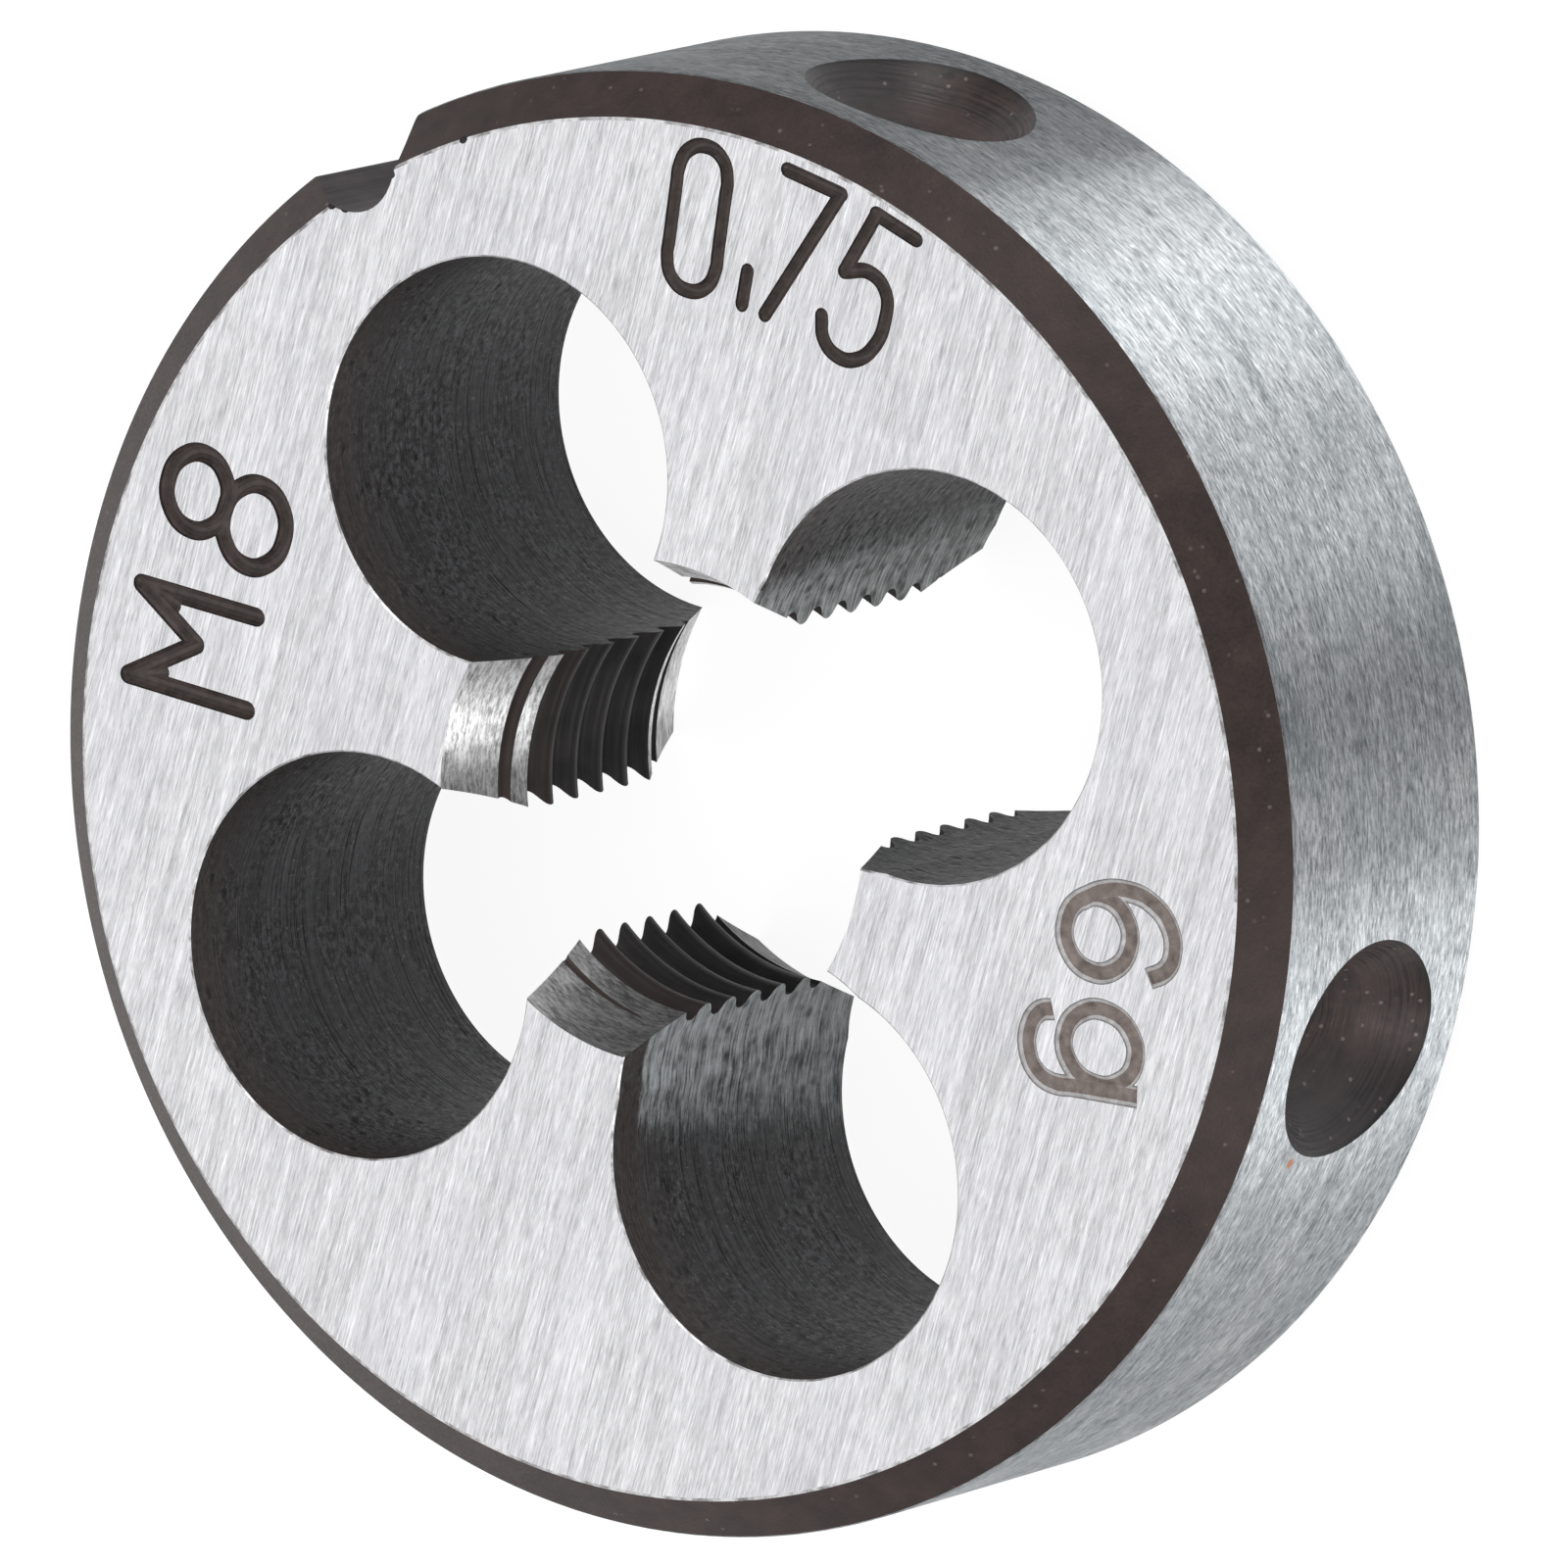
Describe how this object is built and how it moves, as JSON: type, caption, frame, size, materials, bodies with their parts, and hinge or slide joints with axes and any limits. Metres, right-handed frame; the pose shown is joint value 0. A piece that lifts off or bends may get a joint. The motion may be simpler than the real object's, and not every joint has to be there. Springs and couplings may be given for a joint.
{
  "type": "round threading die",
  "caption": "Round hardened steel die that cuts a fine external thread on a rod, with chip holes, lead cones, a vee notch and conical screw seats in its rim.",
  "frame": {"origin": "centre of the plain back face, on the thread's axis", "axes": "+Z out of the marked face along the thread's axis, +Y through the middle of the vee notch in the rim"},
  "size_m": [0.025, 0.0249, 0.007],
  "materials": {
    "die_steel": "ground and brushed hardened steel, with dark oxide in the chamfers, holes, notch and screw seats"
  },
  "bodies": {
    "root": {"die_body": "die_steel"}
  },
  "joints": []
}
